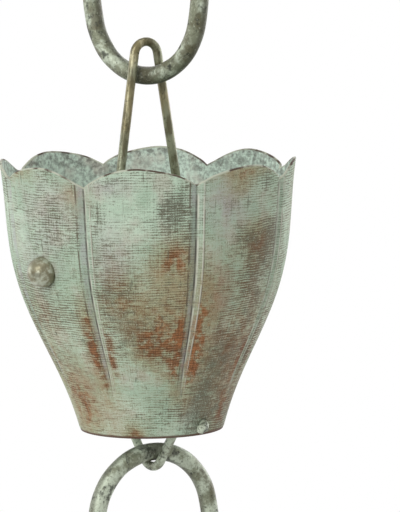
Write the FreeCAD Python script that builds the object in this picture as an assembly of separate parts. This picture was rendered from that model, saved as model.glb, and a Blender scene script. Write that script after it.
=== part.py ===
"""Rain chain: fluted sheet-metal cups hung on wire between oval rod links.

Millimetres and degrees, +Z up. The origin is the seat of the hook that carries the chain: the middle of
the inner face of the top link's upper bend. Everything hangs straight below it. A link or a wire loop
is given by the azimuth of its plane, measured from the XZ plane.
"""

import FreeCAD
import Part
import math
import os

Vector = FreeCAD.Vector
UP = Vector(0, 0, 1)
AXIS_POINT = Vector(0, 0, 0)

# Links: ovals of round rod
link_width = 54.0
link_height = 75.8
link_rod = 6.35
link_end_radius = 22.5
seat_gap = 0.3

# How each link of a run is turned, from the top of the run down
top_run = (90.0, 10.0)
middle_run = (80.0, 30.0, -20.0, 84.0, 0.0)
bottom_run = (82.0, -10.0, 40.0, 90.0)

# Cup: radii of the petals' outer face at heights above the foot
petal_count = 8
sheet = 0.9
cup_height = 93.5
foot_radius = 24.6
collar_height = 11.0
collar_radius = 28.1
bowl_height = 27.0
bowl_radius = 35.1
shoulder_height = 44.0
shoulder_radius = 42.7
rod_height = 58.0
body_radius = 46.8
throat_height = 80.0
throat_radius = 49.3
rim_radius = 50.8
groove_width = 4.4
groove_depth = 1.3
groove_end_depth = 0.25
scallop_depth = 5.8

# Cross rod with a domed nut at each end
cross_rod = 4.0
rod_hole_clearance = 0.1
nut_radius = 5.3
nut_height = 6.0
nut_skirt = 1.2
nut_grip = 2.4
nut_bore_clearance = 0.05

# Hanger: one wire, bent to an eye round the cross rod at each end
hanger_wire = 3.2
bar_above_rim = 27.7
eye_clearance = 0.25
eye_spread = 14.5
eye_neck_radius = 2.6
eye_lead = 0.5
eye_tail = 1.0
hanger_apex_radius = 4.5
hanger_bar_gap = 0.4

# Bail: one wire under the foot, its ends clenched outside two holes
bail_wire = 3.2
bail_hole_height = 4.0
bail_hole_clearance = 0.35
bail_drop = 13.4
bail_half_angle = 34.0
bail_inner_bend = 4.0
bail_outer_bend = 2.6
bail_wall_gap = 0.5
bail_tail = 4.6
bail_tail_turn = 68.0


def polar(radius, degrees, height):
    """The point at a radius and an azimuth about the chain's axis."""
    angle = math.radians(degrees)
    return Vector(radius * math.cos(angle), radius * math.sin(angle), height)


def half_turn(point):
    """The point turned half round the chain's axis."""
    return Vector(-point.x, -point.y, point.z)


def rounded_path(points, radii):
    """Straight runs from point to point, with a tangent arc of its own radius at each inner point."""
    edges = []
    start = points[0]
    for before, corner, after, radius in zip(points, points[1:], points[2:], radii):
        back = (before - corner).normalize()
        onward = (after - corner).normalize()
        half = back.getAngle(onward) / 2
        first = corner + back * (radius / math.tan(half))
        last = corner + onward * (radius / math.tan(half))
        middle = corner + (back + onward).normalize() * (radius / math.sin(half) - radius)
        if not first.isEqual(start, 1e-6):
            edges.append(Part.LineSegment(start, first).toShape())
        edges.append(Part.Arc(first, middle, last).toShape())
        start = last
    edges.append(Part.LineSegment(start, points[-1]).toShape())
    return Part.Wire(edges)


def bent_rod(path, diameter):
    """A round rod bent along a path of lines and tangent arcs."""
    edge = path.Edges[0]
    start = edge.valueAt(edge.FirstParameter)
    along = edge.tangentAt(edge.FirstParameter)
    section = Part.Face(Part.Wire(Part.makeCircle(diameter / 2, start, along)))
    return path.makePipe(section)


def link():
    """An oval link in the XZ plane, about its own middle: two end arcs and two flatter side arcs."""
    half_width = (link_width - link_rod) / 2
    half_height = (link_height - link_rod) / 2
    end_centre = half_height - link_end_radius
    bulge = half_width - link_end_radius
    side_centre = (end_centre**2 - bulge**2) / (2 * bulge)
    side_radius = half_width + side_centre
    turn = math.atan2(end_centre, side_centre)
    x = side_radius * math.cos(turn) - side_centre
    z = side_radius * math.sin(turn)
    joins = [Vector(x, 0, -z), Vector(x, 0, z), Vector(-x, 0, z), Vector(-x, 0, -z)]
    middles = [Vector(half_width, 0, 0), Vector(0, 0, half_height)]
    middles += [middle * -1 for middle in middles]
    arcs = []
    for index, middle in enumerate(middles):
        arcs.append(Part.Arc(joins[index], middle, joins[(index + 1) % len(joins)]).toShape())
    return bent_rod(Part.Wire(arcs), link_rod)


def fluted_section(height, radius, depth, half_width):
    """One level of a cup's wall: petal arcs on a circle, with a round groove between each two."""
    step = 360.0 / petal_count
    shoulder = math.degrees(math.asin(half_width / radius))
    edges = []
    for petal in range(petal_count):
        middle = petal * step
        crease = middle + step / 2
        left = polar(radius, crease - shoulder, height)
        right = polar(radius, crease + shoulder, height)
        start = polar(radius, middle - step / 2 + shoulder, height)
        edges.append(Part.Arc(start, polar(radius, middle, height), left).toShape())
        edges.append(Part.Arc(left, polar(radius - depth, crease, height), right).toShape())
    return Part.Wire(edges)


def cup_body(inset):
    """The cup's outer form as a solid, or the space inside its sheet where an inset is given."""
    levels = [
        (0.0, foot_radius, 0.0),
        (collar_height, collar_radius, groove_end_depth),
        (bowl_height, bowl_radius, groove_depth),
        (shoulder_height, shoulder_radius, groove_depth),
        (rod_height, body_radius, groove_depth),
        (throat_height, throat_radius, groove_depth),
        (cup_height, rim_radius, groove_depth),
    ]
    groove_radius = ((groove_width / 2) ** 2 + groove_depth**2) / (2 * groove_depth)
    to_centre = groove_radius - groove_depth
    half_width = math.sqrt((groove_radius + inset) ** 2 - (to_centre + inset) ** 2)
    wires = []
    for height, radius, depth in levels:
        wires.append(fluted_section(height, radius - inset, depth, half_width))
    return Part.makeLoft(wires, True, False)


def scalloped_limit():
    """What lies under the scalloped rim: a round block, raised by a radial cylinder at each petal."""
    step = 360.0 / petal_count
    half_chord = rim_radius * math.sin(math.radians(step / 2))
    scallop_radius = (half_chord**2 + scallop_depth**2) / (2 * scallop_depth)
    reach = 1.5 * rim_radius
    block = Part.makeCylinder(reach, cup_height - 2 * scallop_depth)
    bars = []
    for petal in range(petal_count):
        start = Vector(0, 0, cup_height - scallop_radius)
        bars.append(Part.makeCylinder(scallop_radius, reach, start, polar(1, petal * step, 0)))
    return block.multiFuse(bars)


def wall_radius(body, height, degrees):
    """How far the cup's outer face stands from its axis at a height and an azimuth."""
    ray = Part.LineSegment(Vector(0, 0, height), polar(2 * rim_radius, degrees, height)).toShape()
    return ray.common(body).Length


def cup(body):
    """The fluted sheet cup, open at both ends, with holes for the cross rod and for the bail."""
    reach = 2 * rim_radius
    shell = body.cut(cup_body(sheet)).common(scalloped_limit())
    rod_start = Vector(0, -reach, rod_height)
    rod_hole = Part.makeCylinder(cross_rod / 2 + rod_hole_clearance, 2 * reach, rod_start, Vector(0, 1, 0))
    bail_start = Vector(-reach, 0, bail_hole_height)
    bail_hole = Part.makeCylinder(bail_wire / 2 + bail_hole_clearance, 2 * reach, bail_start, Vector(1, 0, 0))
    return shell.cut([rod_hole, bail_hole]).Solids[0]


def rod_reach(body):
    """Half the length of the cross rod, which goes a grip's length past the wall on each side."""
    return wall_radius(body, rod_height, 90) + nut_grip


def dome_nut(body):
    """The nut on the +Y end: a dome on a short skirt, drawn down on to the wall, bored for the rod."""
    wall = wall_radius(body, rod_height, 90)
    dome_radius = (nut_radius**2 + (nut_height - nut_skirt) ** 2) / (2 * (nut_height - nut_skirt))
    lean = math.asin(nut_radius / dome_radius) / 2
    dome_centre = wall + nut_height - dome_radius
    foot = Vector(0, wall - nut_height, 0)
    heel = Vector(nut_radius, wall - nut_height, 0)
    brow = Vector(nut_radius, wall + nut_skirt, 0)
    cheek = Vector(dome_radius * math.sin(lean), dome_centre + dome_radius * math.cos(lean), 0)
    crown = Vector(0, wall + nut_height, 0)
    skirt = [Part.LineSegment(foot, heel).toShape(), Part.LineSegment(heel, brow).toShape()]
    dome = [Part.Arc(brow, cheek, crown).toShape(), Part.LineSegment(crown, foot).toShape()]
    nut = Part.Face(Part.Wire(skirt + dome)).revolve(AXIS_POINT, Vector(0, 1, 0), 360)
    nut.translate(Vector(0, 0, rod_height))
    bore = Part.makeCylinder(
        cross_rod / 2 + nut_bore_clearance, rod_reach(body), Vector(0, 0, rod_height), Vector(0, 1, 0)
    )
    return nut.cut([body, bore]).Solids[0]


def rod(body):
    """The plain rod across the cup, along Y."""
    reach = rod_reach(body)
    return Part.makeCylinder(cross_rod / 2, 2 * reach, Vector(0, -reach, rod_height), Vector(0, 1, 0))


def hanger(bar_azimuth):
    """The wire loop that carries the cup: two straight legs, each with an eye, that grip the bar above."""
    eye = cross_rod / 2 + eye_clearance + hanger_wire / 2
    neck = eye_neck_radius + eye_lead
    eye_points = [
        Vector(eye, eye_spread, rod_height + eye_tail),
        Vector(eye, eye_spread, rod_height - eye),
        Vector(-eye, eye_spread, rod_height - eye),
        Vector(-eye, eye_spread, rod_height + eye),
        Vector(neck, eye_spread, rod_height + eye),
    ]
    bar_height = cup_height + bar_above_rim
    spread = math.hypot(neck, eye_spread)
    rise = bar_height - rod_height - eye
    twist = math.atan2(eye_spread, neck) - math.radians(bar_azimuth)
    bar_room = ((link_rod + hanger_wire) / 2 + hanger_bar_gap) / abs(math.sin(twist))
    lean = math.atan2(spread, rise) - math.asin(bar_room / math.hypot(spread, rise))
    apex = Vector(0, 0, bar_height + bar_room / math.sin(lean))
    points = eye_points + [apex] + [half_turn(point) for point in reversed(eye_points)]
    eye_radii = [eye, eye, eye, eye_neck_radius]
    return bent_rod(rounded_path(points, eye_radii + [hanger_apex_radius] + eye_radii[::-1]), hanger_wire)


def bail_bend():
    """The centre-line radius of the bail's lowest bend, in which the next link's rod lies."""
    return (link_rod + bail_wire) / 2 + seat_gap


def bail(body):
    """The wire V under the foot, in the XZ plane: its ends pass out through the wall and are clenched."""
    lean = math.radians(bail_half_angle)
    apex = Vector(0, 0, -bail_drop - bail_bend() * (1 / math.sin(lean) - 1))
    knee = Vector((bail_hole_height - apex.z) * math.tan(lean), 0, bail_hole_height)
    wall = wall_radius(body, bail_hole_height + bail_wire / 2, 0)
    elbow = Vector(wall + bail_wall_gap + bail_wire / 2, 0, bail_hole_height)
    turn = math.radians(bail_tail_turn)
    tail = elbow + Vector(0, -math.sin(turn), -math.cos(turn)) * bail_tail
    side = [tail, elbow, knee]
    points = side + [apex] + [half_turn(point) for point in reversed(side)]
    side_radii = [bail_outer_bend, bail_inner_bend]
    return bent_rod(rounded_path(points, side_radii + [bail_bend()] + side_radii[::-1]), bail_wire)


def moved(shape, height, azimuth=0.0):
    """A copy turned about the chain's axis and raised."""
    copy = shape.copy()
    copy.rotate(AXIS_POINT, UP, azimuth)
    copy.translate(Vector(0, 0, height))
    return copy


def hang_links(parts, first, azimuths, bar):
    """Hang a run of links, numbered from first, with its top bar's centre at a height; give the bottom bar's."""
    drop = link_height - link_rod
    for number, azimuth in enumerate(azimuths, first):
        parts["link_%02d" % number] = moved(link(), bar - drop / 2, azimuth)
        bar += link_rod + seat_gap - drop
    return bar - link_rod - seat_gap


def hang_cup(parts, name, bar, bar_azimuth):
    """Hang a cup with its fittings from a link's bar, and give the height of the next link's bar."""
    foot = bar - bar_above_rim - cup_height
    body = cup_body(0.0)
    nut = dome_nut(body)
    parts[name + "_cup"] = moved(cup(body), foot)
    parts[name + "_cross_rod"] = moved(rod(body), foot)
    parts[name + "_right_nut"] = moved(nut, foot)
    parts[name + "_left_nut"] = moved(nut, foot, 180)
    parts[name + "_hanger"] = moved(hanger(bar_azimuth), foot)
    parts[name + "_bail"] = moved(bail(body), foot)
    return foot - bail_drop + bail_bend()


parts = {}
bar = hang_links(parts, 1, top_run, link_rod / 2)
bar = hang_cup(parts, "upper", bar, top_run[-1])
bar = hang_links(parts, 1 + len(top_run), middle_run, bar)
bar = hang_cup(parts, "lower", bar, middle_run[-1])
hang_links(parts, 1 + len(top_run) + len(middle_run), bottom_run, bar)

os.makedirs("parts", exist_ok=True)
for node, shape in parts.items():
    shape.exportStep("parts/%s.step" % node)
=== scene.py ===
"""Looks of a rain chain: rod links, wire loops and two fluted cups of weathered brass.

Metres, +Z up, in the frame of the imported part. The chain hangs down the Z axis from its hook at the origin.
"""

import math

import bpy
import numpy as np
from mathutils import Matrix, Vector


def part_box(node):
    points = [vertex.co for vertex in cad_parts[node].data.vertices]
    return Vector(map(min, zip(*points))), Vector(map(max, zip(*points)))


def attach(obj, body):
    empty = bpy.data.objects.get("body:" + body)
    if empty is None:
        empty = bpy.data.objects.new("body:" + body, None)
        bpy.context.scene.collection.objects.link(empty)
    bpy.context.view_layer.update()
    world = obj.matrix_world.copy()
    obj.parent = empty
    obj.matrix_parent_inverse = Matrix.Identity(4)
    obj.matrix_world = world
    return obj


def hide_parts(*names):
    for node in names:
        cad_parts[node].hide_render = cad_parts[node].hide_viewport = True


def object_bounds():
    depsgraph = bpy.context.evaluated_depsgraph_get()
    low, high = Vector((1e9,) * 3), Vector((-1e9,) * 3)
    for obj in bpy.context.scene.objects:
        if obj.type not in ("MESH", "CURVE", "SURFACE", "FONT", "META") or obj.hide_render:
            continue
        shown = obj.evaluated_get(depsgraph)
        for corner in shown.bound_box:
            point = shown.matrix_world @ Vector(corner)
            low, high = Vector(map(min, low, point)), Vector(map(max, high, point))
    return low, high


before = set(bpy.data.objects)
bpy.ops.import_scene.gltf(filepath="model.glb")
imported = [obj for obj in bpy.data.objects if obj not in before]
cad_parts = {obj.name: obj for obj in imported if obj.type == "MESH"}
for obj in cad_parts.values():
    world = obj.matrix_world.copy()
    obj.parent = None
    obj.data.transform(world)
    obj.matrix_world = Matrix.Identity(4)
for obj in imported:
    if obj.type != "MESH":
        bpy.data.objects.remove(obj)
cad_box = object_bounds()

# Links: eleven ovals of round brass rod, each bent from one length and closed by a butt joint at mid-side.
# A thin grey-green patina covers them, rubbed pale where they chafe and pitted almost black.
# Each hangs loose in the bend of the link or wire above it.
LINK_ROD = 0.00635
LINK_WIDTH = 0.054
LINK_END_RADIUS = 0.0225
LINK_DENT = 0.00016
BUTT_NOTCH = 0.0005
BUTT_WIDTH = 0.0005
SIDE_EVENNESS = 0.3
# From the top link down: its turn about the chain's axis in degrees, and how stained it is, from 0 to 1.
LINK_TURNS = (90, 10, 80, 30, -20, 84, 0, 82, -10, 40, 90)
LINK_STAINS = (0.5, 0.55, 0.0, 0.6, 0.3, 0.8, 0.4, 0.2, 0.7, 0.5, 0.3)
ROD_GREY_GREEN = (120, 124, 102)
ROD_RUBBED = (184, 193, 173)
ROD_OLIVE = (86, 82, 58)
ROD_EDGE_SHADE = (72, 72, 56)
ROD_BEND_DARK = (66, 62, 46)
ROD_GRIT = (92, 92, 70)
ROD_FLECK = (200, 206, 186)
ROD_PIT = (44, 46, 34)
ROD_SEAM = (48, 46, 36)
ROD_RELIEF = 0.0002


def grid_piece(name, points, marks=(), closed_ends=False):
    """A smooth mesh over a grid of points, rows by columns: each cell is a quad, and columns close round.

    The rows close round as well, unless the two ends are to be closed by a flat face each. Each mark is a
    number for every point, kept as an attribute that the material reads.
    """
    rows, columns = points.shape[:2]
    number = np.arange(rows * columns).reshape(rows, columns)
    here = number[:-1] if closed_ends else number
    above = number[1:] if closed_ends else np.roll(number, -1, 0)
    corners = [here, np.roll(here, -1, 1), np.roll(above, -1, 1), above]
    faces = np.stack(corners, -1).reshape(-1, 4).tolist()
    if closed_ends:
        faces += [number[0, ::-1].tolist(), number[-1].tolist()]
    return mesh_piece(name, points.reshape(-1, 3), faces, marks)


def mesh_piece(name, points, faces, marks=()):
    """A smooth mesh object at the origin, with a number for every point under each mark's name."""
    mesh = bpy.data.meshes.new(name)
    mesh.from_pydata(points.tolist(), [], faces)
    mesh.shade_smooth()
    for mark, values in dict(marks).items():
        kept = mesh.attributes.new(mark, "FLOAT", "POINT")
        kept.data.foreach_set("value", np.ravel(values).astype(np.float32))
    piece = bpy.data.objects.new(name, mesh)
    bpy.context.scene.collection.objects.link(piece)
    return piece


def dress(piece, material, body, slot, *nodes):
    """Give a piece its finish, the body that it moves with, and the nodes that it stands for."""
    piece.data.materials.append(material)
    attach(piece, body)
    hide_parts(*nodes)


def ripple(along, around, seed, waves=7):
    """A closed field from 0 to 1 over two angles: the mean of sines with seeded whole counts and phases."""
    draw = np.random.default_rng(seed)
    field = np.zeros(np.broadcast(along, around).shape)
    for _ in range(waves):
        counts = draw.integers(2, 14), draw.integers(-2, 3)
        field += np.sin(counts[0] * along + counts[1] * around + draw.uniform(0, 2 * math.pi))
    return np.clip(0.5 + field / waves, 0, 1)


def oval_rod(width, height, seed, side_count=36, end_count=58, round_count=20):
    """An oval link's surface about its own middle, (across, off the plane, up), and its marks.

    Two side arcs and two tighter end arcs meet at a tangent. The middle line is told by its outward
    normal's angle: a point is its arc's centre plus the arc's radius along the normal. The side arcs are
    sampled closely about their middle, where the butt joint is. The rod's radius is cut back by shallow
    dents, and by a bell-shaped notch at the joint. The marks are that notch's share, how near a place is to
    the end of a bend, and how near to the oval's outer or inner edge.
    """
    half_width = (width - LINK_ROD) / 2
    half_height = (height - LINK_ROD) / 2
    end_centre = half_height - LINK_END_RADIUS
    bulge = half_width - LINK_END_RADIUS
    side_centre = (end_centre**2 - bulge**2) / (2 * bulge)
    side_radius = half_width + side_centre
    turn = math.atan2(end_centre, side_centre)
    spread = np.linspace(-1, 1, side_count, endpoint=False)
    side = turn * (SIDE_EVENNESS * spread + (1 - SIDE_EVENNESS) * spread**3)
    end = np.linspace(turn, math.pi - turn, end_count, endpoint=False)
    angle = np.concatenate([side, end, side + math.pi, end + math.pi])[:, None]
    on_side = np.tile(np.repeat([True, False], [side_count, end_count]), 2)[:, None]
    radius = np.where(on_side, side_radius, LINK_END_RADIUS)
    across = np.where(on_side, -side_centre * np.sign(np.cos(angle)), 0) + radius * np.cos(angle)
    up = np.where(on_side, 0, end_centre * np.sign(np.sin(angle))) + radius * np.sin(angle)
    around = np.linspace(0, 2 * math.pi, round_count, endpoint=False)[None, :]
    joint = np.exp(-((side_radius * angle / BUTT_WIDTH) ** 2)) * on_side + 0 * around
    rod = LINK_ROD / 2 - LINK_DENT * ripple(angle, around, seed) - BUTT_NOTCH * joint
    outward = rod * np.cos(around)
    surface = [across + outward * np.cos(angle), -rod * np.sin(around), up + outward * np.sin(angle)]
    marks = {
        "joint": joint,
        "bend": np.abs(np.sin(angle)) + 0 * joint,
        "edge": np.abs(np.cos(around)) + 0 * joint,
    }
    return np.stack(surface, -1), marks


def placed(points, turn, height):
    """Points turned about the chain's axis by an angle in degrees, and raised."""
    x, y, z = np.moveaxis(points, -1, 0)
    cosine, sine = math.cos(math.radians(turn)), math.sin(math.radians(turn))
    return np.stack([x * cosine - y * sine, x * sine + y * cosine, z + height], -1)


def paint(red, green, blue):
    """A colour in screen values, 0 to 255, as the linear colour that a socket takes."""
    screen = np.array([red, green, blue]) / 255
    linear = np.where(screen <= 0.04045, screen / 12.92, ((screen + 0.055) / 1.055) ** 2.4)
    return (*linear.tolist(), 1.0)


def node(tree, kind, inputs=(), output=0, **settings):
    """A shader node with its settings made and its inputs filled: a socket is linked, a value is set."""
    made = tree.nodes.new("ShaderNode" + kind)
    for name, value in settings.items():
        setattr(made, name, value)
    for place, value in dict(inputs).items():
        if isinstance(value, bpy.types.NodeSocket):
            tree.links.new(value, made.inputs[place])
        else:
            made.inputs[place].default_value = value
    return made.outputs[output]


def rise(tree, value, low, high):
    """0 below low, 1 above high and a smooth step between; it falls instead where low is the larger."""
    limits = {"Value": value, "From Min": low, "From Max": high}
    return node(tree, "MapRange", limits, interpolation_type="SMOOTHSTEP")


def cloud(tree, place, scale, detail=3.0):
    """Noise about 0.5 with a number of cells to the metre."""
    return node(tree, "TexNoise", {"Vector": place, "Scale": scale, "Detail": detail, "Roughness": 0.6})


def stretched(tree, place, x, y, z):
    """Places scaled along each axis, so that noise over them is drawn out along the least."""
    return node(tree, "VectorMath", {0: place, 1: (x, y, z)}, operation="MULTIPLY")


def sums(tree, operation, *values):
    """The values combined one after another by a Math node's operation, each result held to 0 to 1."""
    total = values[0]
    for value in values[1:]:
        total = node(tree, "Math", {0: total, 1: value}, operation=operation, use_clamp=True)
    return total


def times(tree, *values):
    """The product of the values."""
    return sums(tree, "MULTIPLY", *values)


def coat(tree, share, under, over):
    """One colour laid over another by a share. Each is a socket, or three screen values."""
    under, over = (paint(*colour) if isinstance(colour, tuple) else colour for colour in (under, over))
    return node(tree, "Mix", {0: share, 6: under, 7: over}, output=2, data_type="RGBA")


def finish(name, metallic, shine):
    """A new material, its node tree, its shader and the object's own coordinates."""
    material = bpy.data.materials.new(name)
    material.use_nodes = True
    tree = material.node_tree
    shader = tree.nodes["Principled BSDF"]
    shader.inputs["Metallic"].default_value = metallic
    shader.inputs["Specular IOR Level"].default_value = shine
    return material, tree, shader, node(tree, "TexCoord", output="Object")


def wire_up(tree, shader, colour, roughness, height, depth):
    """Link a colour and a roughness to the shader, and a bump of a depth in metres by a height up to 1."""
    tree.links.new(colour, shader.inputs["Base Color"])
    tree.links.new(roughness, shader.inputs["Roughness"])
    bump = node(tree, "Bump", {"Height": height, "Distance": depth, "Strength": 1.0})
    tree.links.new(bump, shader.inputs["Normal"])


def between(tree, share, low, high):
    """A number from low to high by a share."""
    return node(tree, "MapRange", {"Value": share, "To Min": low, "To Max": high})


def mark_of(tree, name):
    """The number that the mesh keeps under a name."""
    return node(tree, "Attribute", output="Fac", attribute_name=name)


def rod_patina():
    """Grey-green rod: pale rubs, olive stains, grit, flecks and black-green pits, each a step of noise.

    A stained link is rubbed less and soiled more. The oval's outer and inner edges are darkened as painted
    shade, the bends are darker where the links hang in each other, and the butt joint is dark.
    """
    material, tree, shader, place = finish("rod_patina", 0.25, 0.45)
    stained = mark_of(tree, "stained")
    fresh = times(tree, sums(tree, "SUBTRACT", 1.0, stained), 0.14)
    rub = rise(tree, sums(tree, "ADD", cloud(tree, place, 150, 4), fresh), 0.51, 0.69)
    colour = coat(tree, rub, ROD_GREY_GREEN, ROD_RUBBED)
    soiled = sums(tree, "ADD", cloud(tree, place, 110, 5), times(tree, stained, 0.14))
    colour = coat(tree, times(tree, rise(tree, soiled, 0.53, 0.65), 0.8), colour, ROD_OLIVE)
    # Painted shade: the oval's outer and inner edges are darkened.
    edge = rise(tree, mark_of(tree, "edge"), 0.72, 1.0)
    colour = coat(tree, times(tree, edge, 0.65), colour, ROD_EDGE_SHADE)
    # Darker in the bends, where the links hang in each other.
    bend = rise(tree, mark_of(tree, "bend"), 0.96, 1.0)
    bend_dark = times(tree, bend, rise(tree, cloud(tree, place, 210), 0.3, 0.6), 0.8)
    colour = coat(tree, bend_dark, colour, ROD_BEND_DARK)
    grit = rise(tree, cloud(tree, place, 1400, 2), 0.5, 0.72)
    colour = coat(tree, times(tree, grit, 0.45), colour, ROD_GRIT)
    fleck = rise(tree, cloud(tree, place, 1100, 2), 0.58, 0.72)
    colour = coat(tree, times(tree, fleck, 0.4), colour, ROD_FLECK)
    pit = rise(tree, cloud(tree, place, 240, 7), 0.55, 0.66)
    speck = rise(tree, cloud(tree, place, 800, 3), 0.58, 0.7)
    pitted = sums(tree, "ADD", times(tree, pit, 0.85), times(tree, speck, 0.7))
    colour = coat(tree, pitted, colour, ROD_PIT)
    colour = coat(tree, times(tree, mark_of(tree, "joint"), 0.8), colour, ROD_SEAM)
    rough = between(tree, cloud(tree, place, 300), 0.3, 0.6)
    relief = sums(tree, "SUBTRACT", cloud(tree, place, 1300, 3), times(tree, pit, 0.5))
    wire_up(tree, shader, colour, rough, relief, ROD_RELIEF)
    return material


link_finish = rod_patina()
for number, (turn, stained) in enumerate(zip(LINK_TURNS, LINK_STAINS), 1):
    name = "link_%02d" % number
    low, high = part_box(name)
    points, marks = oval_rod(LINK_WIDTH, high.z - low.z, seed=number)
    marks["stained"] = np.full(points.shape[:2], stained)
    link = grid_piece(name + "_rod", placed(points, turn, (low.z + high.z) / 2), marks)
    dress(link, link_finish, name, "link_rod", name)

# Cups: each is one fluted bell of thin sheet, open at both ends, with eight petals and a scalloped rim.
# The sheet is stamped with a crease between each two petals, combed with level lines and given a mint
# verdigris, through which copper brown shows along the lower creases. The cross rod holds it.
PETALS = 8
SHEET = 0.0009
CUP_HEIGHT = 0.0935
WALL_HEIGHTS = np.array([0, 0.011, 0.027, 0.044, 0.058, 0.080, CUP_HEIGHT])
WALL_RADII = np.array([0.0246, 0.0281, 0.0351, 0.0427, 0.0468, 0.0493, 0.0508])
CREASE_HALF_WIDTH = 0.0024
CREASE_DEPTH = 0.0013
CREASE_START = 0.0105
CREASE_FULL = 0.026
CREASE_ROUNDING = 0.00025
SCALLOP_DEPTH = 0.0058
WALL_UNEVEN = 0.0005
RIM_UNEVEN = 0.0006
UNEVEN_PER_METRE = 25
FOOT_ROUNDING = 0.004
ROD_HEIGHT = 0.058
ROD_HOLE = 0.0021
ROD_HOLE_TURNS = (90, 270)
BAIL_HEIGHT = 0.004
BAIL_HOLE = 0.00195
BAIL_HOLE_TURNS = (0, 180)
PETAL_EVEN = 0.78
EVEN_COLUMNS = 21
CROWDED_COLUMNS = 13
CROWDING = 1.3
WALL_ROWS = 84
HOLE_RING = 2
GIVING_RINGS = 6
wall_curve = np.polynomial.Polynomial.fit(WALL_HEIGHTS, WALL_RADII, 6)
petal_turn = 2 * math.pi / PETALS


def step(value, low, high):
    """0 below low, 1 above high, and a smooth cubic step between."""
    share = np.clip((value - low) / (high - low), 0, 1)
    return share**2 * (3 - 2 * share)


def from_petal(turn):
    """The angle from the middle of the nearest petal."""
    return (turn + petal_turn / 2) % petal_turn - petal_turn / 2


def from_crease(turn, height):
    """The distance round the wall from the nearest crease."""
    return wall_curve(height) * (petal_turn / 2 - np.abs(from_petal(turn)))


def around_from(turn, middle):
    """The angle from a middle, the shorter way round."""
    return (turn - middle + math.pi) % (2 * math.pi) - math.pi


def wall(turn, height, seed):
    """The radius of a cup's outer face: the bell's curve, less a creased V, with a slight unevenness.

    The V's flanks are straight, with a rounded bottom, and die out above the foot. The unevenness grows
    towards the rim, as hand-dressed petals do.
    """
    away = from_crease(turn, height)
    flank = 1 - np.sqrt(away**2 + CREASE_ROUNDING**2) / CREASE_HALF_WIDTH
    crease = CREASE_DEPTH * np.maximum(flank, 0) * step(height, CREASE_START, CREASE_FULL)
    dressed = ripple(turn, UNEVEN_PER_METRE * height, seed) - 0.5
    uneven = WALL_UNEVEN * dressed * (height / CUP_HEIGHT) ** 2
    return wall_curve(height) - crease + uneven


def rim_height(turn, seed):
    """The height of the scalloped rim: a circular arc over each petal, a little higher or lower by hand."""
    half_chord = WALL_RADII[-1] * math.sin(petal_turn / 2)
    radius = (half_chord**2 + SCALLOP_DEPTH**2) / (2 * SCALLOP_DEPTH)
    across = WALL_RADII[-1] * np.sin(from_petal(turn))
    arc = CUP_HEIGHT - radius + np.sqrt(radius**2 - across**2)
    return arc - RIM_UNEVEN * ripple(turn, 0, seed, 4)


def cup_grid(seed):
    """Angles and heights of the wall's grid, rows by columns, drawn on to a circle about each hole.

    Columns are even over most of a petal and crowd towards the creases. Each row is a share of the way to
    the rim. About a hole, the ring of grid points HOLE_RING cells out is moved on to the hole's circle, and
    the rings beyond it give way less and less, all but the foot's own edge.
    """
    inner = np.linspace(-PETAL_EVEN, PETAL_EVEN, EVEN_COLUMNS)
    outer = 1 - (1 - PETAL_EVEN) * np.linspace(1, 0, CROWDED_COLUMNS)[1:] ** CROWDING
    half_petals = np.concatenate([-outer[::-1][1:], inner, outer])
    turn = np.concatenate([petal_turn * (petal + half_petals / 2) for petal in range(PETALS)])[None, :]
    share = np.linspace(0, 1, WALL_ROWS)[:, None]
    height = share * (rim_height(turn, seed) - SHEET / 2)
    turn = turn + 0 * height
    gone = np.zeros(turn.shape, bool)
    rings = []
    holes = [(degrees, ROD_HEIGHT, ROD_HOLE) for degrees in ROD_HOLE_TURNS]
    holes += [(degrees, BAIL_HEIGHT, BAIL_HOLE) for degrees in BAIL_HOLE_TURNS]
    row_number, column_number = np.indices(turn.shape)
    columns = turn.shape[1]
    for degrees, at_height, radius in holes:
        across = wall_curve(at_height) * around_from(turn, math.radians(degrees))
        up = height - at_height
        far = np.hypot(across, up)
        row, column = np.unravel_index(np.argmin(far), far.shape)
        off_column = (column_number - column + columns // 2) % columns - columns // 2
        ring = np.maximum(np.abs(row_number - row), np.abs(off_column))
        give = np.clip((GIVING_RINGS - ring) / (GIVING_RINGS - HOLE_RING), 0, 1)
        give = give * (ring >= HOLE_RING) * (row_number > 0)
        scale = 1 + give * (radius / np.maximum(far, 1e-6) - 1)
        turn = np.where(give > 0, math.radians(degrees) + across * scale / wall_curve(at_height), turn)
        height = np.where(give > 0, at_height + up * scale, height)
        gone |= ring < HOLE_RING
        side = np.arange(-HOLE_RING, HOLE_RING)
        end = 0 * side + HOLE_RING
        rows_round = np.concatenate([-end, side, end, -side])
        columns_round = np.concatenate([side, end, -side, -end])
        rings.append((row + rows_round, (column + columns_round) % columns))
    return turn, height, gone, rings
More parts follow.
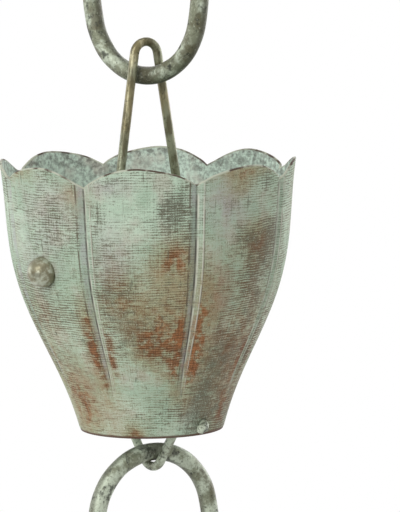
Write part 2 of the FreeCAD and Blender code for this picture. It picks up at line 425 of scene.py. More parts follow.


# How the verdigris is worn on three petals, and where shade is painted on them: the turn and height of a
# mark's middle in degrees and metres, its half width and half height in metres, and its strength. Rust is
# copper brown, smudge is dark comb wear and, low on the right petal, painted shade, grey is a dull bloom,
# rose is a soft red-brown stain, and mint is verdigris that is hardly worn.
RUST_MARKS = [
    (-71, 0.085, 0.004, 0.004, 0.4),
    (-72, 0.034, 0.0022, 0.010, 0.9),
    (-70, 0.020, 0.0015, 0.007, 0.6),
    (-17, 0.034, 0.0025, 0.012, 1.0),
    (-19, 0.036, 0.003, 0.012, 0.8),
    (-19, 0.022, 0.002, 0.008, 0.7),
    (-27, 0.030, 0.002, 0.011, 0.8),
    (-101, 0.092, 0.006, 0.003, 0.8),
    (-30, 0.063, 0.005, 0.005, 1.0),
    (-36, 0.060, 0.005, 0.005, 0.4),
    (-54, 0.050, 0.006, 0.007, 0.6),
    (-42, 0.034, 0.005, 0.005, 0.65),
    (-32, 0.032, 0.006, 0.008, 0.9),
    (-36, 0.044, 0.008, 0.010, 0.5),
    (-97, 0.010, 0.008, 0.012, 0.7),
    (-63, 0.026, 0.0018, 0.010, 0.4),
    (-55, 0.001, 0.003, 0.003, 0.9),
    (-100, 0.042, 0.010, 0.008, 0.45),
    (8, 0.067, 0.005, 0.006, 0.55),
    (-6, 0.055, 0.012, 0.016, 0.2),
    (0, 0.0915, 0.010, 0.0015, 0.9),
    (-3, 0.0875, 0.004, 0.003, 0.7),
    (6, 0.036, 0.010, 0.014, 0.35),
    (20, 0.008, 0.005, 0.008, 0.6),
    (-50, 0.036, 0.014, 0.012, 0.25),
    (-2, 0.050, 0.014, 0.020, 0.15),
    (10, 0.026, 0.014, 0.016, 0.25),
    (-95, 0.020, 0.010, 0.016, 0.2),
    (15, 0.012, 0.012, 0.012, 0.2),
    (-65, 0.012, 0.020, 0.008, 0.2),
]
SMUDGE_AND_SHADE_MARKS = [
    (-33, 0.080, 0.006, 0.005, 0.8),
    (-60, 0.080, 0.005, 0.007, 0.6),
    (-28, 0.086, 0.003, 0.006, 0.6),
    (-12, 0.082, 0.008, 0.008, 0.2),
    (12, 0.047, 0.010, 0.012, 0.6),
    (12, 0.026, 0.016, 0.020, 0.9),
    (8, 0.008, 0.016, 0.010, 1.0),
    (16, 0.012, 0.012, 0.012, 0.9),
    (-50, 0.041, 0.009, 0.008, 0.45),
    (-56, 0.053, 0.006, 0.007, 0.35),
    (-20, 0.056, 0.005, 0.012, 0.4),
    (10, 0.068, 0.009, 0.006, 0.8),
    (8, 0.060, 0.009, 0.008, 0.6),
    (-94, 0.048, 0.006, 0.008, 0.5),
    (-80, 0.078, 0.014, 0.007, 0.2),
    (-57, 0.0885, 0.007, 0.0025, 0.8),
    (-86, 0.069, 0.010, 0.006, 0.4),
]
GREY_MARKS = [
    (-55, 0.0875, 0.006, 0.003, 0.9),
    (-57, 0.062, 0.006, 0.014, 0.7),
    (-84, 0.080, 0.014, 0.014, 0.6),
    (-95, 0.060, 0.012, 0.012, 0.5),
    (-10, 0.081, 0.009, 0.009, 1.0),
    (16, 0.064, 0.010, 0.010, 0.35),
]
ROSE_MARKS = [
    (-10, 0.050, 0.005, 0.013, 0.9),
    (-70, 0.083, 0.005, 0.006, 0.9),
    (-55, 0.061, 0.010, 0.007, 0.3),
    (-91, 0.015, 0.012, 0.014, 0.7),
    (18, 0.030, 0.012, 0.020, 0.4),
]
MINT_MARKS = [
    (-48, 0.084, 0.009, 0.006, 1.0),
    (-52, 0.075, 0.008, 0.007, 0.6),
    (-44, 0.018, 0.014, 0.008, 0.9),
    (9, 0.078, 0.009, 0.0035, 1.0),
    (-3, 0.058, 0.005, 0.005, 1.0),
    (-42, 0.062, 0.006, 0.010, 0.6),
    (-14, 0.070, 0.006, 0.008, 0.7),
    (0, 0.046, 0.005, 0.006, 0.6),
    (-80, 0.060, 0.010, 0.008, 0.5),
    (-84, 0.036, 0.010, 0.006, 0.6),
]
MARKS_REPEAT = (0, 165)
MARK_DRIFT = 0.006


def marked(turn, height, marks, first_turn, seed, spread=1.0):
    """How strongly a list of marks shows: bell curves of the distance across and up, added and held to 1.

    The list is laid twice round the cup, the second time with each mark shifted up or down by a seeded
    amount. A spread widens every mark.
    """
    draw = np.random.default_rng(seed)
    total = np.zeros(turn.shape)
    for repeat in MARKS_REPEAT:
        for degrees, at_height, half_width, half_height, strength in marks:
            shift = draw.normal(0, MARK_DRIFT) * (repeat > 0)
            middle = math.radians(degrees + repeat + first_turn)
            across = wall_curve(at_height) * around_from(turn, middle)
            up = height - at_height - shift
            away = np.hypot(across / half_width, up / half_height) / spread
            total += strength * np.exp(-(away**2))
    return np.clip(total, 0, 1)


def cup_sheet(name, foot, first_turn, seed):
    """The cup's sheet as one closed surface: up the outside, over a round edge, down the inside and back.

    The inside lies a sheet's thickness nearer the axis than the outside. Each edge is a half circle. The
    holes' cells are left out, and their two rings are joined by short walls. The marks say where a place is
    on the sheet and how it is worn.
    """
    turn, height, gone, rings = cup_grid(seed)
    radius = wall(turn, height, seed)
    bend = np.radians([45, 90, 135])[:, None]
    outward, upward = SHEET / 2 * np.cos(bend), SHEET / 2 * np.sin(bend)
    top_radius = radius[-1] - SHEET / 2 + outward
    top_height = height[-1] + upward
    foot_radius = radius[0] - SHEET / 2 - outward
    foot_height = height[0] - upward + SHEET / 2
    height = np.maximum(height, SHEET / 2 * (1 - height / FOOT_ROUNDING))
    radii = np.concatenate([radius, top_radius, radius[::-1] - SHEET, foot_radius])
    heights = np.concatenate([height, top_height, height[::-1], foot_height])
    edge_turn = np.repeat(turn[-1:], len(bend), 0)
    turns = np.concatenate([turn, edge_turn, turn[::-1], np.repeat(turn[:1], len(bend), 0)])
    points = np.stack([radii * np.cos(turns), radii * np.sin(turns), heights + foot], -1)
    count, columns = turn.shape
    total = len(radii)
    number = np.arange(total * columns).reshape(total, columns)
    above = np.roll(number, -1, 0)
    quads = np.stack([number, np.roll(number, -1, 1), np.roll(above, -1, 1), above], -1)
    left_out = np.zeros((total, columns), bool)
    left_out[:count] = gone
    left_out[count + len(bend) : 2 * count + len(bend)] = gone[::-1]
    corner_out = left_out.ravel()[quads].any(-1)
    faces = [quads[~corner_out]]
    last_inner = 2 * count + len(bend) - 1
    for rows, ring_columns in rings:
        outside = number[rows, ring_columns]
        inside = number[last_inner - rows, ring_columns]
        walls = [outside, np.roll(outside, -1), np.roll(inside, -1), inside]
        faces.append(np.stack(walls, -1))
    faces = np.concatenate(faces)
    outer_face = np.concatenate([np.ones(count), [1, 0.5, 0], np.zeros(count), [0, 0.5, 1]])
    marks = {
        "crease": from_crease(turns, heights),
        "side": -np.sin(PETALS * turns),
        "height": heights,
        "below_rim": rim_height(turns, seed) - heights,
        "outside": outer_face[:, None] + 0 * turns,
        "rust": marked(turns, heights, RUST_MARKS, first_turn, seed),
        "tan": marked(turns, heights, RUST_MARKS, first_turn, seed, spread=1.5),
        "smudge_and_shade": marked(turns, heights, SMUDGE_AND_SHADE_MARKS, first_turn, seed + 1),
        "grey": marked(turns, heights, GREY_MARKS, first_turn, seed + 2),
        "rose": marked(turns, heights, ROSE_MARKS, first_turn, seed + 3),
        "mint": marked(turns, heights, MINT_MARKS, first_turn, seed + 4),
    }
    used = np.zeros(number.size, bool)
    used[faces] = True
    renumber = np.cumsum(used) - 1
    kept = {mark: np.ravel(values)[used] for mark, values in marks.items()}
    return mesh_piece(name, points.reshape(-1, 3)[used], renumber[faces].tolist(), kept)


def blended(tree, shares):
    """The sum of numbers, each multiplied by its own share."""
    return sums(tree, "ADD", *[times(tree, value, share) for value, share in shares])


def band(tree, value, start, full, fade, end):
    """0 up to a start, 1 from full to fade, and 0 again past an end."""
    return times(tree, rise(tree, value, start, full), rise(tree, value, end, fade))


LEVEL_LINES = (260, 260, 2700)
COMB_LINES = 370.0
UPRIGHT_LINES = (150, 150, 0)
UPRIGHT_DRIFT = (0, 0, 60)
GRAIN_SPECKS = 2600


def linen(tree, place):
    """The combed grain of the sheet, about 0.5: level lines, finer upright ones and specks, by shares.

    The level lines are noise drawn out round the wall, with an even ripple that comes and goes. The upright
    ones are noise over the direction from the axis, which drifts a little with height.
    """
    level = cloud(tree, stretched(tree, place, *LEVEL_LINES), 1.0, 2)
    even = {"Vector": place, "Scale": COMB_LINES, "Distortion": 6.0, "Detail": 2.0, "Detail Scale": 0.2}
    comb = node(tree, "TexWave", even, output="Fac", bands_direction="Z")
    combed = times(tree, comb, rise(tree, cloud(tree, place, 55), 0.3, 0.65))
    outward = node(tree, "VectorMath", {0: stretched(tree, place, 1, 1, 0)}, operation="NORMALIZE")
    spread = {0: outward, 1: UPRIGHT_LINES, 2: stretched(tree, place, *UPRIGHT_DRIFT)}
    upright = cloud(tree, node(tree, "VectorMath", spread, operation="MULTIPLY_ADD"), 1.0, 2)
    speck = cloud(tree, place, GRAIN_SPECKS, 2)
    return blended(tree, [(level, 0.42), (combed, 0.14), (upright, 0.22), (speck, 0.3)])


MINT_DEEP = (162, 185, 162)
MINT_PALE = (190, 209, 188)
WARM_WASH = (178, 172, 158)
GREY_BLOOM = (164, 160, 157)
TAN_STAIN = (148, 138, 98)
WEAVE_GREY = (110, 112, 92)
COMB_WEAR_AND_SHADE = (82, 78, 64)
ROSE_STAIN = (150, 112, 94)
PALE_FLECK = (206, 212, 192)
RUST_HALO = (150, 108, 68)
RUST_BRIGHT = (160, 95, 48)
RUST_DARK = (92, 54, 28)
SCRATCH_GREY = (84, 82, 66)
CHIP_BROWN = (86, 80, 62)
# Where rust runs beside a crease: the distances from it and the heights at which it starts, is full, fades
# and ends.
RUST_FROM_CREASE = (0.0018, 0.0024, 0.0034, 0.0072)
RUST_HEIGHTS = (0.014, 0.028, 0.032, 0.056)


def verdigris_outside(tree, place, grain):
    """The outer face's colour: mint verdigris, worn to tan, dark brown and rust where the grain stands out.

    First come soft washes: a warm one by noise, and a grey bloom by its marks. Tan, dark comb wear and
    rust are each a step of the grain plus a mark's strength, so that a weak mark shows as lines and specks,
    and a strong one covers. The dark marks low on the right petal are painted shade. Mint marks hold the tan
    and the dark wear back. The weave darkens the grain's crests all over. Rose stains and pale flecks lie on
    that, then a halo about each rust mark and the rust itself, which also runs beside the creases, and last
    some upright scratches and chips.
    """
    fresh = rise(tree, cloud(tree, place, 48), 0.36, 0.64)
    colour = coat(tree, fresh, MINT_DEEP, MINT_PALE)
    warm = rise(tree, cloud(tree, place, 95, 5), 0.5, 0.68)
    colour = coat(tree, times(tree, warm, 0.6), colour, WARM_WASH)
    bloom = times(tree, mark_of(tree, "grey"), rise(tree, cloud(tree, place, 180), 0.2, 0.6), 0.85)
    colour = coat(tree, bloom, colour, GREY_BLOOM)
    clean = times(tree, mark_of(tree, "mint"), 0.12)
    tan = blended(tree, [(grain, 0.7), (mark_of(tree, "tan"), 0.24), (cloud(tree, place, 34, 4), 0.4)])
    tan = rise(tree, sums(tree, "SUBTRACT", tan, clean), 0.5, 0.84)
    colour = coat(tree, times(tree, tan, 0.8), colour, TAN_STAIN)
    weave = rise(tree, grain, 0.46, 0.6)
    colour = coat(tree, times(tree, weave, 0.45), colour, WEAVE_GREY)
    # Dark comb wear, and painted shade where the dark marks lie low on the right petal.
    smudge_and_shade = mark_of(tree, "smudge_and_shade")
    dark = blended(tree, [(grain, 1.0), (smudge_and_shade, 0.14), (cloud(tree, place, 40, 5), 0.36)])
    dark = rise(tree, sums(tree, "SUBTRACT", dark, clean), 0.66, 0.86)
    colour = coat(tree, times(tree, dark, 0.8), colour, COMB_WEAR_AND_SHADE)
    rose = times(tree, mark_of(tree, "rose"), rise(tree, cloud(tree, place, 240, 5), 0.25, 0.65), 0.6)
    colour = coat(tree, rose, colour, ROSE_STAIN)
    fleck = rise(tree, cloud(tree, place, 1900, 1), 0.62, 0.72)
    colour = coat(tree, times(tree, fleck, 0.5), colour, PALE_FLECK)

    ragged = rise(tree, cloud(tree, place, 300, 6), 0.3, 0.62)
    beside = band(tree, mark_of(tree, "crease"), *RUST_FROM_CREASE)
    low = band(tree, mark_of(tree, "height"), *RUST_HEIGHTS)
    strip = times(tree, beside, low, rise(tree, cloud(tree, place, 60), 0.3, 0.5), 0.2)
    worn = times(tree, mark_of(tree, "rust"), ragged, 0.42)
    halo = times(tree, mark_of(tree, "tan"), ragged, 0.25)
    colour = coat(tree, halo, colour, RUST_HALO)
    rust = rise(tree, sums(tree, "ADD", grain, worn, strip), 0.61, 0.95)
    copper = coat(tree, rise(tree, grain, 0.39, 0.59), RUST_BRIGHT, RUST_DARK)
    colour = coat(tree, times(tree, rust, 0.84), colour, copper)
    scratch = rise(tree, cloud(tree, stretched(tree, place, 700, 700, 22), 1.0, 1), 0.69, 0.76)
    colour = coat(tree, times(tree, scratch, 0.55), colour, SCRATCH_GREY)
    chip = rise(tree, cloud(tree, place, 2300, 1), 0.64, 0.72)
    return coat(tree, times(tree, chip, 0.5), colour, CHIP_BROWN)


# Crease colours: the left flank's grey is partly its own colour and partly painted shade and reflection, the
# mint face is painted light, the pale ones are painted highlights, and the dark ones painted shade.
FLANK_SHADE_GREEN = (150, 162, 152)
FLANK_SHEEN_SILVER = (172, 171, 174)
LIT_FACE_MINT = (178, 198, 180)
GLINT_HIGHLIGHT = (206, 208, 192)
RIDGE_HIGHLIGHT = (212, 213, 198)
SHOULDER_SHADE = (88, 76, 62)
BOTTOM_SHADOW = (66, 60, 54)
# Distances from a crease's bottom: the four that lie along it are gone at the first and full at the second,
# and the two at its edges start, are full, fade and end.
FLANK_WIDTH = (0.0025, 0.0015)
FACE_WIDTH = (0.0024, 0.0016)
GLINT_WIDTH = (0.0011, 0.0007)
BOTTOM_WIDTH = (0.0005, 0.0002)
RIDGE_BAND = (0.0020, 0.0023, 0.0025, 0.0028)
SHOULDER_BAND = (0.0022, 0.0025, 0.0027, 0.0031)
CREASE_PAINT_START = 0.012
CREASE_PAINT_FULL = 0.024
CREASE_PAINT_WIDE = 0.062


def creased(tree, place, colour):
    """A colour with the creases painted on as light and shade: broken lines that draw together towards the
    foot.

    The left flank is grey, partly its own colour and partly painted shade and reflection, and the right one
    is painted a lighter mint, as lit. A pale painted highlight lies by the bottom, which is painted dark as
    shade.
    On the right edge lies another pale painted highlight, and on both edges a dark shoulder of painted shade.
    The crease mark is the distance from the bottom, and the side mark is above 0 on the right of it.
    """
    height = mark_of(tree, "height")
    begun = rise(tree, height, CREASE_PAINT_START, CREASE_PAINT_FULL)
    narrowed = between(tree, rise(tree, height, CREASE_PAINT_START, CREASE_PAINT_WIDE), 0.5, 1.0)
    crease = sums(tree, "DIVIDE", mark_of(tree, "crease"), narrowed)
    side = mark_of(tree, "side")
    left = rise(tree, side, 0.02, -0.02)
    right = rise(tree, side, -0.02, 0.02)
    broken = rise(tree, cloud(tree, stretched(tree, place, 500, 500, 160), 1.0), 0.32, 0.6)
    # The left flank's grey: partly its own colour, partly painted shade and reflection.
    flank_shade_and_sheen = coat(tree, rise(tree, cloud(tree, place, 60), 0.42, 0.58), FLANK_SHADE_GREEN, FLANK_SHEEN_SILVER)
    flank = times(tree, rise(tree, crease, *FLANK_WIDTH), left, begun, between(tree, broken, 0.15, 0.5))
    colour = coat(tree, flank, colour, flank_shade_and_sheen)
    # Painted light: the right flank, turned to the light, is a paler mint.
    face = times(tree, rise(tree, crease, *FACE_WIDTH), right, begun, 0.25)
    colour = coat(tree, face, colour, LIT_FACE_MINT)
    # Painted highlight: a pale line beside the crease's bottom.
    glint = times(tree, rise(tree, crease, *GLINT_WIDTH), right, begun, broken, 0.8)
    colour = coat(tree, glint, colour, GLINT_HIGHLIGHT)
    # Painted highlight: a pale line along the crease's right edge.
    ridge = times(tree, band(tree, crease, *RIDGE_BAND), right, begun, broken, 0.9)
    colour = coat(tree, ridge, colour, RIDGE_HIGHLIGHT)
    # Painted shade: a dark line on both edges of the crease, stronger on the left.
    edges = band(tree, crease, *SHOULDER_BAND)
    shoulder = times(tree, edges, begun, broken, between(tree, left, 0.6, 0.85))
    colour = coat(tree, shoulder, colour, SHOULDER_SHADE)
    # Painted shadow along the crease's bottom.
    bottom = times(tree, rise(tree, crease, *BOTTOM_WIDTH), begun, between(tree, broken, 0.3, 0.85))
    return coat(tree, bottom, colour, BOTTOM_SHADOW)


INSIDE_PALE = (206, 223, 209)
INSIDE_GREY = (158, 171, 160)
INSIDE_WARM = (192, 184, 172)
RAIN_STREAK = (210, 222, 208)
SOOT = (96, 92, 86)
SOOT_BELOW_RIM = (0.010, 0.001)


def verdigris_inside(tree, place):
    """The inner face's colour: bluer verdigris, mottled grey and warm, with rain streaks and a sooty rim."""
    mottle = rise(tree, cloud(tree, place, 850, 5), 0.4, 0.64)
    colour = coat(tree, mottle, INSIDE_PALE, INSIDE_GREY)
    warm = rise(tree, cloud(tree, place, 75, 4), 0.48, 0.66)
    colour = coat(tree, times(tree, warm, 0.6), colour, INSIDE_WARM)
    streak = rise(tree, cloud(tree, stretched(tree, place, 600, 600, 60), 1.0), 0.48, 0.7)
    colour = coat(tree, times(tree, streak, 0.3), colour, RAIN_STREAK)
    margin = rise(tree, mark_of(tree, "below_rim"), *SOOT_BELOW_RIM)
    soot = times(tree, margin, rise(tree, cloud(tree, place, 420, 7), 0.44, 0.62), 0.7)
    return coat(tree, soot, colour, SOOT)


BARE_DARK = (82, 68, 58)
BARE_PALE = (178, 182, 164)
BARE_BELOW_RIM = (0.0007, 0.0004)
HEM_BROWN = (84, 58, 46)
HEM_HEIGHTS = (0.0012, 0.0006)
COMB_RELIEF = 0.0002


def verdigris():
    """The whole finish: both faces, a bare rim, a brown hem at the foot, and the grain as a bump."""
    material, tree, shader, place = finish("verdigris_sheet", 0.05, 0.2)
    grain = linen(tree, place)
    outer = creased(tree, place, verdigris_outside(tree, place, grain))
    colour = coat(tree, mark_of(tree, "outside"), verdigris_inside(tree, place), outer)
    bare = coat(tree, rise(tree, cloud(tree, place, 120), 0.42, 0.56), BARE_DARK, BARE_PALE)
    colour = coat(tree, rise(tree, mark_of(tree, "below_rim"), *BARE_BELOW_RIM), colour, bare)
    hem = rise(tree, mark_of(tree, "height"), *HEM_HEIGHTS)
    colour = coat(tree, times(tree, hem, 0.9), colour, HEM_BROWN)
    rough = between(tree, cloud(tree, place, 260), 0.45, 0.75)
    wire_up(tree, shader, colour, rough, grain, COMB_RELIEF)
    return material


sheet_finish = verdigris()
CUP_MARKS_TURN = {"upper": 0, "lower": 74}
cup_foot = {}
for seed, (which, first_turn) in enumerate(CUP_MARKS_TURN.items(), 20):
    low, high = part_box(which + "_cup")
    cup_foot[which] = low.z
    cup = cup_sheet(which + "_cup_sheet", low.z, first_turn, seed)
    dress(cup, sheet_finish, which + "_cup", "cup_sheet", which + "_cup")

# Cross rods and domed nuts: a plain brass rod goes through each cup from side to side, and a domed nut
# is drawn down on the wall at each end. The nuts are cast, lightly hammered and rubbed bright.
CROSS_ROD = 0.004
NUT_RADIUS = 0.0053
NUT_HEIGHT = 0.006
NUT_SKIRT = 0.0012
NUT_STRAIGHT = 0.6
NUT_CROWN_LEAN = 0.03
NUT_RINGS = 16
NUT_GRIP = 0.0024
NUT_SUNK = 0.0006
NUT_DENT = 0.05
# Each nut's side of the cup, its turn in degrees and the seed of its dents.
NUT_SIDES = (("right", 0, 5), ("left", 180, 184))
ROD_CHAMFER = 0.0004
ROD_EVEN = 0.8
ROD_RINGS = 40
BRASS_OLIVE = (124, 120, 96)
BRASS_RUBBED = (172, 176, 157)
BRASS_DARK = (84, 78, 56)
BRASS_RELIEF = 0.00015


def turned(profile, columns=36, dent=0.0, seed=0):
    """A surface turned about Y: each (radius, along) of the profile is a ring, cut back by seeded dents."""
    around = np.linspace(0, 2 * math.pi, columns, endpoint=False)[None, :]
    radius, along = (np.array(values)[:, None] for values in zip(*profile))
    station = np.linspace(0, math.pi, len(profile))[:, None]
    radius = radius * (1 - dent * ripple(around, station, seed))
    return np.stack([radius * np.cos(around), along + 0 * around, -radius * np.sin(around)], -1)


def nut_profile(wall_radius):
    """From inside the wall up a short skirt, round a small shoulder and over a round dome to its crown."""
    dome_height = NUT_HEIGHT - NUT_SKIRT
    dome = (NUT_RADIUS**2 + dome_height**2) / (2 * dome_height)
    lean = np.linspace(math.asin(NUT_RADIUS / dome), NUT_CROWN_LEAN, NUT_RINGS)
    rings = [(NUT_RADIUS, wall_radius - NUT_SUNK), (NUT_RADIUS, wall_radius + NUT_STRAIGHT * NUT_SKIRT)]
    rings += [(dome * math.sin(a), wall_radius + NUT_HEIGHT - dome + dome * math.cos(a)) for a in lean]
    return rings


def worn_brass():
    """Olive-brown brass, rubbed pale in places and stained dark in others."""
    material, tree, shader, place = finish("worn_brass", 0.45, 0.5)
    rub = rise(tree, cloud(tree, place, 320, 4), 0.45, 0.62)
    colour = coat(tree, rub, BRASS_OLIVE, BRASS_RUBBED)
    stain = rise(tree, cloud(tree, place, 180, 3), 0.52, 0.68)
    colour = coat(tree, times(tree, stain, 0.55), colour, BRASS_DARK)
    rough = between(tree, cloud(tree, place, 500), 0.26, 0.5)
    wire_up(tree, shader, colour, rough, cloud(tree, place, 700, 3), BRASS_RELIEF)
    return material


nut_finish = worn_brass()
nut_seat = float(wall_curve(ROD_HEIGHT))
rod_reach = nut_seat + NUT_GRIP
rod_ends = [(CROSS_ROD / 2 - ROD_CHAMFER, rod_reach), (CROSS_ROD / 2, rod_reach - ROD_CHAMFER)]
rod_profile = [(radius, -along) for radius, along in rod_ends]
rod_profile += [(CROSS_ROD / 2, along) for along in np.linspace(-ROD_EVEN, ROD_EVEN, ROD_RINGS) * rod_reach]
rod_profile += rod_ends[::-1]
for which, foot in cup_foot.items():
    bar = placed(turned(rod_profile), 0, foot + ROD_HEIGHT)
    rod = grid_piece(which + "_rod", bar, closed_ends=True)
    dress(rod, nut_finish, which + "_cup", "wire", which + "_cross_rod")
    for side, turn, seed in NUT_SIDES:
        dome = placed(turned(nut_profile(nut_seat), dent=NUT_DENT, seed=seed), turn, foot + ROD_HEIGHT)
        nut = grid_piece("%s_%s_dome" % (which, side), dome, closed_ends=True)
        dress(nut, nut_finish, which + "_cup", "nut", "%s_%s_nut" % (which, side))

# Hangers: each is one brass wire, an upside-down V that grips the bar of the link above it.
# Each leg ends in an eye bent round the cross rod. The wire is browned, with bright rubbed lengths.
HANGER_WIRE = 0.0032
BAR_ABOVE_RIM = 0.0277
EYE_CLEARANCE = 0.00025
EYE_SPREAD = 0.0145
EYE_NECK_RADIUS = 0.0026
EYE_LEAD = 0.0005
EYE_TAIL = 0.001
APEX_RADIUS = 0.0045
BAR_GAP = 0.0004
WIRE_DENT = 0.00008
WIRE_DENT_SPAN = 6
WIRE_END_FLAT = 0.0001
WIRE_BROWN = (122, 113, 79)
WIRE_RUBBED = (174, 168, 136)
WIRE_GREEN = (136, 142, 120)
WIRE_OLIVE = (84, 78, 52)
WIRE_SPECK = (56, 52, 38)
WIRE_RELIEF = 0.0001
BAR_TURN = {"upper": LINK_TURNS[1], "lower": LINK_TURNS[6]}


def bent_line(points, radii, spacing=0.0007):
    """Places along straight runs from point to point, with a tangent arc at each inner one.

    An arc is swept from its first to its last tangent point about a centre on the corner's bisector.
    """
    points = np.array(points)
    stretches = []
    start = points[0]
    for before, corner, after, radius in zip(points, points[1:], points[2:], radii):
        back = (before - corner) / np.linalg.norm(before - corner)
        onward = (after - corner) / np.linalg.norm(after - corner)
        half = math.acos(np.clip(back @ onward, -1, 1)) / 2
        centre = corner + (back + onward) / np.linalg.norm(back + onward) * radius / math.sin(half)
        first = corner + back * radius / math.tan(half)
        sweep = math.pi - 2 * half
        angle = np.linspace(0, sweep, max(4, round(radius * sweep / spacing)))[:, None]
        arc = centre + (first - centre) * np.cos(angle) - back * radius * np.sin(angle)
        run = np.linspace(0, 1, max(2, round(np.linalg.norm(first - start) / spacing)))[:-1, None]
        if np.linalg.norm(first - start) > spacing / 2:
            stretches.append(start + (first - start) * run)
        stretches.append(arc)
        start = arc[-1]
    run = np.linspace(0, 1, max(2, round(np.linalg.norm(points[-1] - start) / spacing)))[1:, None]
    stretches.append(start + (points[-1] - start) * run)
    return np.concatenate(stretches)


def wire_round(line, diameter, seed, columns=18):
    """A wire's surface along a line: rings about it, drawn in to a blunt round at both ends.

    The rings' directions are carried along the line without twist: the first is square to the first
    tangent, and each is the one before, less its part along the new tangent. Slight seeded dents cut the
    wire back.
    """
    along = np.gradient(line, axis=0)
    along /= np.linalg.norm(along, axis=1)[:, None]
    sides = [np.cross(along[0], along[0][[2, 0, 1]] + (0.1, 0.2, 0.3))]
    for tangent in along:
        side = sides[-1] - tangent * (sides[-1] @ tangent)
        sides.append(side / np.linalg.norm(side))
    side = np.array(sides[1:])[:, None]
    other = np.cross(along, side[:, 0])[:, None]
    gone = np.concatenate([[0], np.cumsum(np.linalg.norm(np.diff(line, axis=0), axis=1))])
    from_end = np.minimum(gone, gone[-1] - gone)
    blunt = np.sqrt(1 - np.clip(1 - (from_end + WIRE_END_FLAT) / (diameter / 3), 0, 1) ** 2)
    around = np.linspace(0, 2 * math.pi, columns, endpoint=False)[None, :]
    dents = WIRE_DENT * ripple(gone[:, None] / gone[-1] * WIRE_DENT_SPAN, around, seed)
    radius = ((diameter / 2 - dents) * blunt[:, None])[..., None]
    return line[:, None] + radius * (side * np.cos(around)[..., None] + other * np.sin(around)[..., None])


def half_turn(points):
    """Points turned half round the chain's axis, in reverse order."""
    return [(-x, -y, z) for x, y, z in reversed(points)]


def hanger_line(bar_turn):
    """A hanger's middle line: eye, leg, apex, leg and eye, with the legs clear of the bar between them.

    A leg leans so that it passes the bar's middle at the distance that the rod, the wire and a gap need,
    and more where the bar crosses the hanger aslant. The apex is where the two legs meet on the axis.
    """
    eye = CROSS_ROD / 2 + EYE_CLEARANCE + HANGER_WIRE / 2
    neck = EYE_NECK_RADIUS + EYE_LEAD
    corners = [(eye, EYE_TAIL), (eye, -eye), (-eye, -eye), (-eye, eye), (neck, eye)]
    eye_points = [(x, EYE_SPREAD, ROD_HEIGHT + z) for x, z in corners]
    bar_height = CUP_HEIGHT + BAR_ABOVE_RIM
    spread = math.hypot(neck, EYE_SPREAD)
    leg_rise = bar_height - ROD_HEIGHT - eye
    twist = math.atan2(EYE_SPREAD, neck) - math.radians(bar_turn)
    bar_room = ((LINK_ROD + HANGER_WIRE) / 2 + BAR_GAP) / abs(math.sin(twist))
    lean = math.atan2(spread, leg_rise) - math.asin(bar_room / math.hypot(spread, leg_rise))
    apex = (0, 0, bar_height + bar_room / math.sin(lean))
    radii = [eye, eye, eye, EYE_NECK_RADIUS]
    return bent_line(eye_points + [apex] + half_turn(eye_points), radii + [APEX_RADIUS] + radii[::-1])


def browned_wire():
    """Olive-brown wire: pale rubbed lengths, grey-green ones, long dark stains, specks and a fine grain."""
    material, tree, shader, place = finish("browned_wire", 0.4, 0.5)
    rub = rise(tree, cloud(tree, stretched(tree, place, 420, 420, 90), 1.0, 4), 0.5, 0.7)
    colour = coat(tree, rub, WIRE_BROWN, WIRE_RUBBED)
    green = rise(tree, cloud(tree, place, 30), 0.55, 0.43)
    colour = coat(tree, times(tree, green, 0.75), colour, WIRE_GREEN)
    stain = rise(tree, cloud(tree, stretched(tree, place, 330, 330, 110), 1.0, 4), 0.46, 0.62)
    colour = coat(tree, times(tree, stain, 0.8), colour, WIRE_OLIVE)
    speck = rise(tree, cloud(tree, place, 900, 3), 0.56, 0.68)
    colour = coat(tree, times(tree, speck, 0.6), colour, WIRE_SPECK)
    rough = between(tree, cloud(tree, place, 420), 0.22, 0.42)
    wire_up(tree, shader, colour, rough, cloud(tree, place, 1400, 3), WIRE_RELIEF)
    return material


wire_finish = browned_wire()
for seed, (which, foot) in enumerate(cup_foot.items(), 40):
    wire = wire_round(hanger_line(BAR_TURN[which]), HANGER_WIRE, seed)
    hanger = grid_piece(which + "_hanger_wire", placed(wire, 0, foot), closed_ends=True)
    dress(hanger, wire_finish, which + "_hanger", "wire", which + "_hanger")

# Bails: each is one brass wire, a V under the cup's foot that holds the next link in its bend.
# Its ends go out through two holes in the foot and are clenched down against the wall.
BAIL_WIRE = 0.0032
BAIL_DROP = 0.0134
BAIL_HALF_ANGLE = 34
BAIL_INNER_BEND = 0.004
BAIL_OUTER_BEND = 0.0026
BAIL_WALL_GAP = 0.0005
BAIL_TAIL = 0.0046
BAIL_TAIL_TURN = 68
SEAT_GAP = 0.0003


def bail_line():
    """A bail's middle line: tail, elbow outside the wall, knee inside it, apex, and the same back again.

    The apex is a corner so low that the arc that rounds it comes down just to the drop. The knee is where
    a leg from the apex, at its lean, comes up to the holes' height.
    """
    bend = (LINK_ROD + BAIL_WIRE) / 2 + SEAT_GAP
    lean = math.radians(BAIL_HALF_ANGLE)
    apex = -BAIL_DROP - bend * (1 / math.sin(lean) - 1)
    knee = ((BAIL_HEIGHT - apex) * math.tan(lean), 0, BAIL_HEIGHT)
    reach = float(wall_curve(BAIL_HEIGHT + BAIL_WIRE / 2)) + BAIL_WALL_GAP + BAIL_WIRE / 2
    turn = math.radians(BAIL_TAIL_TURN)
    tail = (reach, -BAIL_TAIL * math.sin(turn), BAIL_HEIGHT - BAIL_TAIL * math.cos(turn))
    side = [tail, (reach, 0, BAIL_HEIGHT), knee]
    radii = [BAIL_OUTER_BEND, BAIL_INNER_BEND]
    return bent_line(side + [(0, 0, apex)] + half_turn(side), radii + [bend] + radii[::-1])


for seed, (which, foot) in enumerate(cup_foot.items(), 50):
    wire = wire_round(bail_line(), BAIL_WIRE, seed)
    bail = grid_piece(which + "_bail_wire", placed(wire, 0, foot), closed_ends=True)
    dress(bail, link_finish, which + "_bail", "wire", which + "_bail")

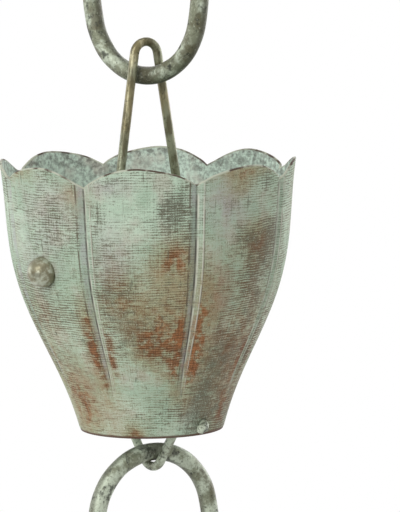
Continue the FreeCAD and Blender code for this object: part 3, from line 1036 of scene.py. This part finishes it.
# Floor: a plain pale floor some way under the chain's end. It is white to the camera, but for the chain's
# shadow, which shows near the axis alone.
FLOOR_DROP = 0.03
FLOOR_HALF = 40.0
FLOOR_GREY = (0.85, 0.85, 0.85, 1)
WHITE = (1, 1, 1, 1)
SHADOW_REACH = 1.2
WHITE_IN_SHADOW = 0.8


def seen_directly(tree):
    """1 for rays from the camera, from a mirror-like surface or through a clear one, and 0 for the rest."""
    path = node(tree, "LightPath").node
    rays = [path.outputs[name] for name in ("Is Camera Ray", "Is Glossy Ray", "Is Transmission Ray")]
    return sums(tree, "ADD", *rays)


floor_height = cad_box[0].z - FLOOR_DROP
floor_corners = np.array([(-1, -1), (1, -1), (1, 1), (-1, 1)]) * FLOOR_HALF
floor_points = np.column_stack([floor_corners, np.full(4, floor_height)])
floor = mesh_piece("floor", floor_points, [(0, 1, 2, 3)])
floor_paint = bpy.data.materials.new("pale_floor")
floor_paint.use_nodes = True
tree = floor_paint.node_tree
tree.nodes.remove(tree.nodes["Principled BSDF"])
matt = node(tree, "BsdfDiffuse", {"Color": FLOOR_GREY})
white = node(tree, "Emission", {"Color": WHITE, "Strength": 1.0})
floor_place = stretched(tree, node(tree, "TexCoord", output="Object"), 1, 1, 0)
from_axis = node(tree, "VectorMath", {0: floor_place}, output="Value", operation="LENGTH")
plain = between(tree, rise(tree, from_axis, SHADOW_REACH / 4, SHADOW_REACH), WHITE_IN_SHADOW, 1.0)
shown = node(tree, "MixShader", {0: times(tree, seen_directly(tree), plain), 1: matt, 2: white})
tree.links.new(shown, tree.nodes["Material Output"].inputs["Surface"])
floor.data.materials.append(floor_paint)

# Studio: a white surround, a broad soft key from the upper left, a weak fill from the right, a top light,
# three behind for the edges and the back, and a small one for glints.
SURROUND = 0.38
LIGHT_AIM = Vector((0, 0, -0.3))
CAMERA_TURN = 48.44
world = bpy.data.worlds.new("studio")
bpy.context.scene.world = world
world.use_nodes = True
tree = world.node_tree
ambient = node(tree, "Background", {"Color": WHITE, "Strength": SURROUND})
backdrop = node(tree, "Background", {"Color": WHITE, "Strength": 1.0})
surround = node(tree, "MixShader", {0: seen_directly(tree), 1: ambient, 2: backdrop})
tree.links.new(surround, tree.nodes["World Output"].inputs["Surface"])


def lamp(name, right, back, up, size, power):
    """A square soft light, placed right, back and up from the aim as the camera sees it, facing the aim."""
    turn = math.radians(CAMERA_TURN)
    offset = Matrix.Rotation(turn, 3, "Z") @ Vector((right, -back, up))
    light = bpy.data.lights.new(name, "AREA")
    light.size = size
    light.energy = power
    made = bpy.data.objects.new(name, light)
    made.location = LIGHT_AIM + offset
    made.rotation_euler = offset.to_track_quat("Z", "Y").to_euler()
    bpy.context.scene.collection.objects.link(made)


lamp("key", -2.0, 2.4, 1.6, 1.8, 70)
lamp("fill", 2.4, 1.6, 1.4, 1.8, 6)
lamp("top", 0.3, 0.6, 3.0, 1.5, 18)
lamp("left_edge", -2.4, -1.0, 0.3, 1.4, 13)
lamp("right_edge", 2.0, -1.8, 0.4, 1.4, 20)
lamp("back", 0.4, -2.8, 1.2, 1.8, 24)
lamp("glint", 2.6, 0.0, 0.5, 0.3, 4)

# Camera: a long lens a little above the upper cup's rim, looking slightly down, level but for a small roll.
# Its turn about the chain's axis, its aim and its roll are in degrees.
CAMERA_DISTANCE = 1.1713
CAMERA_HEIGHT = -0.0657
CAMERA_LENS = 241.9
AIM_RIGHT = 0.851
AIM_UP = -6.111
AIM_ROLL = -0.818
heading = Matrix.Rotation(math.radians(CAMERA_TURN - AIM_RIGHT), 3, "Z")
tilt = Matrix.Rotation(math.radians(90 + AIM_UP), 3, "X")
roll = Matrix.Rotation(math.radians(AIM_ROLL), 3, "Z")
lens = bpy.data.cameras.new("camera")
lens.lens = CAMERA_LENS
camera = bpy.data.objects.new("camera", lens)
turn = math.radians(CAMERA_TURN)
camera.location = (CAMERA_DISTANCE * math.sin(turn), -CAMERA_DISTANCE * math.cos(turn), CAMERA_HEIGHT)
camera.rotation_euler = (heading @ tilt @ roll).to_euler()
bpy.context.scene.collection.objects.link(camera)
bpy.context.scene.camera = camera
bpy.context.scene.view_settings.view_transform = "Standard"
